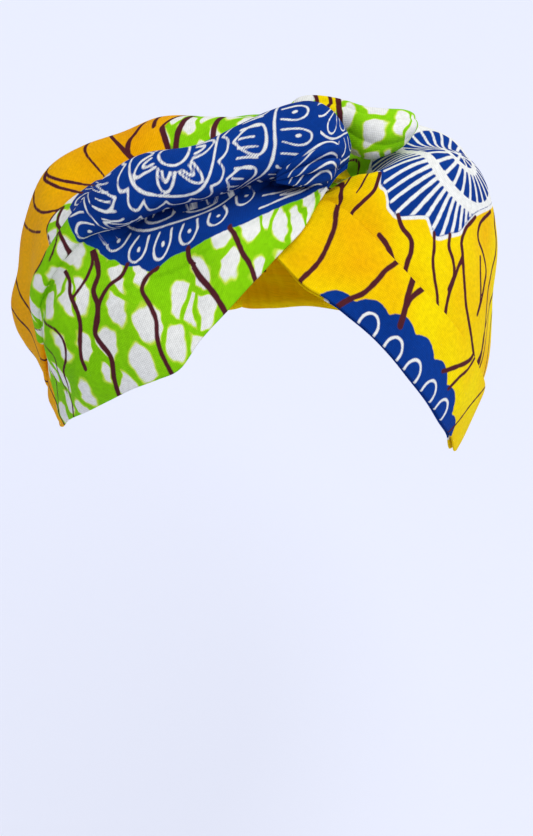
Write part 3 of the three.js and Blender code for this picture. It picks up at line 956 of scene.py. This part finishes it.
def streams(
    ends: tuple[float, float], span: tuple[float, float], count: int, seed: int, half: float = 0.7
) -> list[tuple[float, list[tuple[float, float]]]]:
    """Veins like slow water: long wavering lines across the cloth, some joined by a branch.

    Args:
        ends: first and last place along the cloth.
        span: where the lines start and stop across it.
        count: how many lines.
        seed: seed of the wavering.
        half: half the width of a line in millimetres.

    Returns:
        Half width and corners of each line.
    """
    corner_gap, sway, branching = 12, 3.2, 0.45
    rng = np.random.default_rng(seed)
    steps = max(4, int(abs(span[1] - span[0]) / corner_gap))
    across = np.linspace(*span, steps)
    veins = []
    for place in np.linspace(*ends, count):
        along = place + np.cumsum(rng.uniform(-sway, sway, steps))
        width = max(THINNEST, half * rng.uniform(0.6, 1.3))
        veins.append((width, list(zip(along.tolist(), across.tolist()))))
        if rng.uniform() < branching:
            k = rng.integers(1, steps - 2)
            side = rng.choice((-1, 1)) * rng.uniform(6, 9)
            branch = [
                (along[k] + side, across[k] - 4), (along[k] + side * 0.7, across[k] + 4),
                (along[k + 1] + side * 0.1, across[k + 1]), (along[k + 1], across[k + 1] + 3),
            ]
            veins.append((max(THINNEST, width * 0.7), branch))
    return veins


@dataclass
class Print:
    """What is drawn on one flat panel, in millimetres of the flat cloth (u along, v across)."""

    veins: Sequence[tuple[float, Sequence[tuple[float, float]]]] = ()
    blues: Sequence[Sequence[tuple[float, float]]] = ()
    greens: Sequence[Sequence[tuple[float, float]]] = ()
    medallions: Sequence[Medallion] = ()
    lines: Sequence[tuple[float, Sequence[tuple[float, float]]]] = ()
    outline: float = 0.0

    def ink(self, flat: np.ndarray, blue: np.ndarray) -> np.ndarray:
        """Signed distance to the white lines, each medallion hiding the ones after it.

        Args:
            flat: places on the cloth.
            blue: signed distance to the blue fields, which the lines stay inside.

        Returns:
            The distance, with the fields' outline where the print has one.
        """
        white = np.full(len(flat), FAR)
        for half, corners in self.lines:
            white = np.minimum(white, distance_to_path(flat, flowing(corners)) - half)
        free = np.ones(len(flat), bool)
        for medallion in self.medallions:
            away = np.linalg.norm(flat - np.array(medallion.centre), axis=1)
            here = free & (away < medallion.reach)
            drawn = np.full(here.sum(), FAR)
            for band in medallion.bands:
                for half, path in band.strokes(medallion.centre):
                    drawn = np.minimum(drawn, distance_to_path(flat[here], path) - half)
            white[here] = np.minimum(white[here], drawn)
            free &= ~here
        white = np.maximum(white, blue + INSET)
        return np.minimum(white, np.abs(blue) - self.outline) if self.outline else white

    def paint(self, u: np.ndarray, v: np.ndarray) -> dict[str, np.ndarray]:
        """Signed distances, minus inside, to what is drawn.

        Args:
            u: grid of cloth coordinates along the panel.
            v: grid of cloth coordinates across it.

        Returns:
            Grids named vein, ink, blue and green.
        """
        flat = np.stack([u.ravel(), v.ravel()], -1)
        layers = {name: np.full(len(flat), FAR) for name in ("vein", "blue", "green")}
        for half, corners in self.veins:
            away = distance_to_path(flat, flowing(corners)) - half
            layers["vein"] = np.minimum(layers["vein"], away)
        for name, shapes in (("blue", self.blues), ("green", self.greens)):
            for corners in shapes:
                away = region(flat, flowing([*corners, corners[0]]))
                layers[name] = np.minimum(layers[name], away)
        layers["ink"] = self.ink(flat, layers["blue"])
        return {name: values.reshape(u.shape) for name, values in layers.items()}


# Veins and lines are (half width, corners), and all corners are (u, v).
LEFT_WHEEL = Medallion(
    (34, 74),
    50.5,
    (
        Band(Motif.LOOP, 38.5, 47, 26, 0.42),
        Band(Motif.DOT, 38.5, 47, 26, 0.6),
        Band(Motif.LINE, 36, 36, 12, 0.45),
        Band(Motif.LEAF, 22.5, 34, 12, 0.42, 8),
        Band(Motif.COMB, 25, 32, 12, 0.4, -1.5),
        Band(Motif.WAVE, 17, 21, 14, 0.42),
        Band(Motif.LINE, 15.5, 15.5, 8, 0.5),
        Band(Motif.ARROW, 7, 14.5, 7, 0.42),
        Band(Motif.LINE, 5, 5, 6, 0.45),
    ),
)
KNOT_WHEEL = Medallion(
    (98, 48),
    44,
    (
        Band(Motif.LINE, 41, 41, 16, 0.45),
        Band(Motif.LINE, 36.5, 36.5, 12, 0.45),
        Band(Motif.LOOP, 25, 34, 13, 0.42),
        Band(Motif.LINE, 22, 22, 8, 0.5),
        Band(Motif.LOOP, 10, 20, 8, 0.42),
    ),
)
LEFT_PRINT = Print(
    veins=(
        (0.85, ((37.5, 22), (38, 16.5), (38.5, 11), (39.5, 6.5), (40, -1))),
        (0.95, ((22, 27), (21.5, 22), (22.5, 16), (24.5, 10), (25.5, 5.5), (26.5, -1))),
        (0.75, ((10.5, 30.5), (7.5, 31), (4.5, 30), (3, 27.5), (4, 21.5), (4, 16.5), (2, 11.5),
                (1, 6.5), (1, -1))),
        (0.6, ((-10.5, 49), (-11, 45), (-13.5, 41), (-17, 38), (-20.5, 36))),
        (0.95, ((-10, 50), (-9.5, 44.5), (-10, 39.5), (-13, 35), (-13, 29.5), (-15.5, 25.5),
                (-19, 21.5), (-18, 17), (-16.5, 11.5), (-19.5, 5), (-22, -1))),
        (0.8, ((1, 39), (-2, 35.5), (-7, 34), (-10.5, 31.5), (-13.5, 28.5))),
        (0.8, ((-18.5, 81), (-21, 77), (-21.5, 72.5), (-17, 64), (-15.5, 58.5), (-17, 53.5),
               (-23, 50), (-21, 43), (-21.5, 38), (-21, 32.5), (-22, 26.5), (-26, 21), (-28, 17),
               (-28, 13))),
        (0.45, ((-22, 73), (-18, 62), (-20.5, 58), (-24, 56))),
        (0.45, ((-19.5, 81.5), (-25, 78.5), (-27.5, 75), (-26.5, 67.5), (-25, 60), (-32, 57),
                (-44, 59), (-54, 58), (-60, 53), (-60, 47), (-54, 43), (-47, 35), (-43, 28.5),
                (-41.5, 22.5), (-47, 18), (-52, 10))),
        (0.5, ((-42.5, 40.5), (-36, 34), (-32, 29.5), (-31.5, 24), (-35, 19.5), (-41.5, 16.5),
               (-47.5, 10.5), (-49.5, 5), (-55, -1))),
        (0.35, ((-54.5, 23.5), (-56, 17.5), (-63, 12.5), (-68, 7), (-70, -1))),
        (1.1, ((2, 132), (4, 128), (7.5, 123.5), (9.5, 120), (13, 112), (17, 98))),
        (1.0, ((17, 129), (15, 125.5), (12.5, 124), (11, 121), (10.5, 118))),
        (0.7, ((-4, 126), (-5.5, 116), (-7, 109), (-5.5, 103.5), (-2.5, 99), (4, 93))),
        (0.7, ((-17, 122), (-23, 108), (-25, 103), (-20.5, 97), (-13, 93), (-5, 89))),
        (0.7, ((-24, 106), (-26.5, 101), (-22, 94.5), (-16, 90), (-10, 85))),
        (0.65, ((-32, 112), (-34, 101), (-35, 95), (-31, 88), (-26.5, 84), (-21, 81))),
        (0.6, ((-48, 104), (-46, 94), (-42, 88), (-38, 83.5), (-32, 78))),
        (0.8, ((22, 131), (21.5, 126), (21.3, 120.5))),
        (0.7, ((31, 125), (28, 121.5), (24, 118))),
        (1.1, ((24.3, 117.5), (24.5, 112), (24, 105))),
        (1.2, ((34, 122), (31, 115), (27, 107), (26, 102))),
        (1.2, ((46, 116), (43, 108), (40.5, 101))),
        *streams((-118, -72), (0, 95), 4, 4, 0.75),
        *streams((-90, -8), (134, 172), 6, 5, 0.7),
        *streams((34, 90), (134, 172), 4, 6, 0.7),
    ),
    blues=(
        ((-15.5, 79), (-11.5, 66), (-11, 60), (-11.5, 55), (-10.5, 50), (-8.5, 49), (-7.5, 46.5),
         (-5, 43.5), (-3, 42.5), (-1.5, 40), (1, 38), (4.5, 36.5), (6, 34), (7.5, 32), (10.5, 30.5),
         (15.5, 29.5), (22.5, 26), (28, 24.5), (35.5, 22), (40.5, 20), (49.5, 17), (59.5, 13),
         (68, 8.5), (78, 2), (84, -4), (108, -4), (108, 60), (80, 72), (60, 80), (40, 88),
         (20, 96), (0, 97), (-10, 88)),
    ),
    greens=(
        ((-66, -4), (-71, 6), (-67, 14), (-62, 22), (-61, 30), (-61, 38), (-62, 46), (-60, 54),
         (-54, 58.5), (-44, 59), (-32, 57), (-25, 60), (-27, 67), (-27.5, 75), (-25, 78.5),
         (-19.5, 81.5), (-10, 88), (5, 98), (18, 104), (24.5, 108), (25, 112), (24, 116),
         (28, 121), (34, 128), (40, 150), (44, 178), (114, 178), (114, -6), (60, -6), (0, -6)),
    ),
    medallions=(LEFT_WHEEL, KNOT_WHEEL),
    lines=(
        (0.45, ((51, 26), (57, 22), (64, 19), (71, 15), (79, 10), (86, 4))),
        (0.45, ((49, 20.5), (55, 18), (61, 15.5), (68, 12), (75, 7))),
        (0.42, ((58, 19.6), (61.5, 18.6), (65.5, 16.6), (67, 14.8), (63, 15.9), (59.6, 17.8),
                (58, 19.6))),
    ),
)
RIGHT_FAN = Medallion(
    (-14, 82),
    46,
    (
        Band(Motif.RAY, 0, 5.5, 8, 0.5),
        Band(Motif.LINE, 7, 7, 8, 1.3),
        Band(Motif.RAY, 8, 18, 24, 0.6),
        Band(Motif.LINE, 20, 20, 12, 2.1),
        Band(Motif.RAY, 21, 45, 60, 0.65, 3),
    ),
)
RIGHT_PRINT = Print(
    veins=(
        (1.2, ((-76, 43), (-71.5, 39.5), (-69, 37.5), (-65, 34.5), (-65, 31), (-64, 25))),
        (1.15, ((-49.5, 50), (-47.5, 43.5), (-50, 37), (-52.5, 33), (-51.5, 29), (-50, 24))),
        (0.9, ((-31.5, 40), (-28, 37), (-23.5, 35.5), (-21.5, 32), (-21, 28.5), (-19.5, 23))),
        (1.0, ((-35, 30.5), (-29.5, 28.5), (-24, 24))),
        (0.65, ((-17, 43), (-14.5, 38), (-13, 34.5), (-9.5, 30.5), (-6, 27.5), (-2, 23))),
        (0.75, ((-11, 47), (-9.5, 43), (-6, 41), (-3, 37.5), (-2.5, 32))),
        (0.75, ((-1.5, 63), (-5, 54.5), (-5, 48.5), (-2.5, 45.5), (-2.5, 40.5), (-2, 34.5),
                (-1, 29.5), (2.5, 22))),
        (0.8, ((-4.5, 48), (0.5, 42), (5, 37.5), (10, 33.5), (19.5, 29.5), (28, 27), (34, 25))),
        (0.75, ((7, 73), (2.5, 64), (3.5, 58), (10, 56.5), (15.5, 53.5), (16.5, 48), (17.5, 42.5),
                (18, 37))),
        (0.7, ((8, 53.5), (11.5, 48.5), (14.5, 45), (17, 41.5), (18, 37))),
        (0.8, ((11.5, 80), (13, 73), (18.5, 70), (22, 65), (22.5, 57), (22, 50), (25.5, 44.5),
               (31, 39), (34, 34), (33, 27))),
        (1.1, ((31, 38), (35, 31), (34, 24))),
        *streams((36, 100), (16, 145), 7, 8, 0.75),
        *streams((-90, -60), (40, 120), 4, 9, 0.7),
    ),
    blues=(
        ((-52.5, 54.5), (-46.5, 47), (-41.5, 46), (-38.5, 43), (-37, 40.5), (-34.5, 39.5),
         (-31.5, 39), (-28, 41), (-24, 44), (-21.5, 45.5), (-19.5, 44), (-17, 42), (-14.5, 42.5),
         (-11, 46.5), (-7, 51), (-5, 56), (-1.5, 64), (6, 74), (12, 83), (20, 92), (24, 106),
         (12, 118), (-8, 124), (-26, 118), (-38, 104), (-44, 84), (-50, 66)),
        ((-35, -4), (33, -4), (33, 3), (-35, 3)),
    ),
    greens=(
        ((-76, 44), (-66, 46), (-59, 51), (-52, 58), (-46, 62), (-38, 66), (-30, 78), (-40, 100),
         (-74, 100)),
    ),
    medallions=(RIGHT_FAN,),
    outline=0.6,
)
HEM_LOOP = ((-3.6, -2), (-3.4, 2.4), (-1.6, 5), (1, 5.2), (3, 2.6), (2.8, -2))
HEM_PRINT = Print(
    veins=(
        (0.8, ((-50, 36), (-49.5, 30), (-48, 24.5), (-47.5, 17.5), (-47.5, 10.5), (-48.5, 4.5),
               (-49.5, -1))),
        (0.85, ((-24, 28), (-25, 24.5), (-27.5, 19.5), (-29, 14.5), (-31, 8.5), (-33.5, 4.5),
                (-36, -1))),
        (1.15, ((-17.5, 28), (-17.5, 24), (-17, 18), (-16, 13), (-15, 8.5))),
        (0.9, ((-12.5, 24.5), (-15.5, 18.5), (-16, 15))),
        (0.8, ((22.5, 28), (21.5, 22), (16, 16), (10, 10))),
        (0.6, ((25, 26), (22.5, 19), (19, 13.5), (17, 8))),
        (0.5, ((50, 29), (41.5, 18), (37, 10), (33, 0))),
        *streams((60, 98), (-2, 34), 4, 12, 0.7),
    ),
    blues=(scallops((-44, 39), 10.5, 7, 2.4),),
    lines=tuple(
        (0.45, tuple((middle + u, v) for u, v in HEM_LOOP))
        for middle in (-24, -12.5, -1.8, 9.2, 20)
    ),
)
BAG_PRINT = Print(
    veins=(*streams((-240, 250), (20, 168), 38, 21, 0.8),),
)
LOBE_PRINT = Print(
    veins=(
        (1.1, ((20, -2), (19, 12), (21, 25), (20, 60))),
        (0.7, ((14, -2), (16, 12), (13, 25), (16, 60))),
        (0.8, ((9, -2), (11, 12), (8, 25), (11, 60))),
    ),
    greens=(((-4, -4), (10, -4), (10, 62), (-4, 62)), ((20, -4), (76, -4), (76, 62), (20, 62))),
)
PLEAT_PRINT = Print(
    blues=(((-3, -3), (40, -3), (40, 70), (-3, 70)),),
    lines=tuple((0.42, ((5, k), (12, k + 0.8), (19, k + 0.5), (24, k))) for k in range(3, 60, 5)),
)


@dataclass(frozen=True)
class Piece:
    """One piece: its cloth, its print, the imported part it stands for, a slot and a flat size. Flat
    sizes in metres.
    """

    cloth: ClothSheet | Bunch
    drawn: Print
    node: str
    slot: str
    flat: tuple[float, float]
    # Whether the piece takes the darker amber copy of the cotton: partly the cloth's own deeper tone,
    # partly painted shade of the left side.
    amber_and_painted_shade: bool = False

    def build(self, cotton: bpy.types.Material) -> bpy.types.Object:
        """The piece's object, printed, with the imported part it stands for hidden."""
        self.cloth.build()
        obj = self.cloth.piece()
        for name, values in self.drawn.paint(self.cloth.u, self.cloth.v).items():
            self.cloth.keep(obj, name, values)
        self.cloth.seal(obj)
        obj.data.materials.append(cotton)
        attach(obj, "root")
        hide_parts(self.node)
        log.info("%s: %d faces", obj.name, len(obj.data.polygons))
        return obj


@dataclass(frozen=True)
class Turban:
    """The six pieces of the turban, built and printed in order."""

    cotton: WaxCotton = WaxCotton("wax_print_cotton")
    # A darker, more orange copy of the cotton for the left panel: partly the cloth's own amber tone,
    # partly painted shade of that side.
    amber_and_painted_shade: WaxCotton = WaxCotton("golden_wax_print_cotton", yellow="#FDBA00", amber="#F0A000")

    def pieces(self) -> list[Piece]:
        """Every piece. A cloth's numbers are its places along and across."""
        left = LeftPanel("left_panel", LEFT_ROWS[::-1], 350, 251)
        right = RightPanel("right_panel", RIGHT_ROWS, 330, 261)
        hem = HemBand("hem_band", RIGHT_ROWS, 330, 71)
        bag = CrownBag("bag_cloth", BAG_ROWS, 540, 141, ring=True)
        lobe = Bunch("lobe", LOBE_ROWS, 150, 180, ridges=5, depth=0.08, crumple=0.1)
        pleats = Bunch("pleats", PLEAT_ROWS, 130, 240, ridges=7, depth=0.28)
        return [
            Piece(left, LEFT_PRINT, "left_wrap", "cotton_blue", (0.21, 0.135), amber_and_painted_shade=True),
            Piece(right, RIGHT_PRINT, "right_wrap", "cotton_yellow", (0.19, 0.11)),
            Piece(hem, HEM_PRINT, "right_hem_band", "cotton_yellow", (0.155, 0.028)),
            Piece(bag, BAG_PRINT, "crown_bag", "cotton_yellow", (0.30, 0.125)),
            Piece(lobe, LOBE_PRINT, "knot_lobe", "cotton_green", (0.036, 0.032)),
            Piece(pleats, PLEAT_PRINT, "knot_pleats", "cotton_blue", (0.022, 0.02)),
        ]

    def build(self) -> None:
        """Builds every piece."""
        # The second material is the darker amber copy with painted shade, used on the left panel.
        plain, amber_and_painted_shade = self.cotton.make(), self.amber_and_painted_shade.make()
        pieces = self.pieces()
        made = [piece.build(amber_and_painted_shade if piece.amber_and_painted_shade else plain) for piece in pieces]


@dataclass(frozen=True)
class PhotoCamera:
    """The camera that took the photograph, found from the object's outline."""

    azimuth: float = -5.0
    elevation: float = 44.27
    distance: float = 0.40675
    lens: float = 42.19
    sensor: float = 36.0
    sees: tuple[float, float] = (0.01, 20.0)
    target: tuple[float, float, float] = (0.00408, 0.0, -0.1153)

    def add(self) -> None:
        """Adds the camera and makes it the scene's own."""
        az, el = math.radians(self.azimuth), math.radians(self.elevation)
        back = Vector((math.sin(az) * math.cos(el), -math.cos(az) * math.cos(el), math.sin(el)))
        right = Vector((math.cos(az), math.sin(az), 0))
        turn = Matrix((right, back.cross(right), back)).transposed()
        data = bpy.data.cameras.new("photo_camera")
        data.sensor_fit, data.sensor_height, data.lens = "VERTICAL", self.sensor, self.lens
        data.clip_start, data.clip_end = self.sees
        camera = linked("photo_camera", data)
        place = Vector(self.target) + back * self.distance
        camera.matrix_world = Matrix.Translation(place) @ turn.to_4x4()
        bpy.context.scene.camera = camera


@dataclass(frozen=True)
class Studio:
    """A plain pale floor well below, a pale sky and one broad sun. Metres and degrees."""

    floor_height: float = -0.60
    floor_reach: float = 6.0
    floor_colour: str = "#E6EAF8"
    floor_roughness: float = 0.9
    sky_colour: str = "#F4F5FF"
    sky: float = 0.45
    sun_from: tuple[float, float, float] = (0.4, -0.25, 1.0)
    sun_width: float = 60
    sun_power: float = 2.25

    def add_sun(self) -> None:
        """Adds a broad soft light from far off."""
        data = bpy.data.lights.new("key", "SUN")
        data.angle, data.energy = math.radians(self.sun_width), self.sun_power
        lamp = linked("key", data)
        lamp.matrix_world = Vector(self.sun_from).to_track_quat("Z", "Y").to_matrix().to_4x4()

    def add_floor(self) -> None:
        """Adds the floor, a square board painted pale."""
        low, high = -self.floor_reach, self.floor_reach
        corners = [(low, low), (high, low), (high, high), (low, high)]
        mesh = bpy.data.meshes.new("floor")
        mesh.from_pydata([(x, y, self.floor_height) for x, y in corners], [], [(0, 1, 2, 3)])
        material = bpy.data.materials.new("painted_board")
        material.use_nodes = True
        shader = material.node_tree.nodes["Principled BSDF"]
        shader.inputs["Base Color"].default_value = linear(self.floor_colour)
        shader.inputs["Roughness"].default_value = self.floor_roughness
        mesh.materials.append(material)
        linked("floor", mesh)

    def add_sky(self) -> None:
        """Gives the world one pale colour."""
        world = bpy.context.scene.world or bpy.data.worlds.new("studio")
        bpy.context.scene.world = world
        world.use_nodes = True
        background = world.node_tree.nodes["Background"]
        background.inputs["Color"].default_value = linear(self.sky_colour)
        background.inputs["Strength"].default_value = self.sky

    def build(self) -> None:
        """Adds the floor, the sky and the sun, and shows colours as they are."""
        self.add_floor()
        self.add_sky()
        self.add_sun()
        bpy.context.scene.view_settings.view_transform = "Standard"


def main() -> None:
    """Builds the turban, the camera and the studio."""
    logging.basicConfig(level=logging.INFO, format="%(name)s: %(message)s")
    PhotoCamera().add()
    Turban().build()
    Studio().build()
    log.info("sizes kept")


if __name__ == "__main__":
    main()
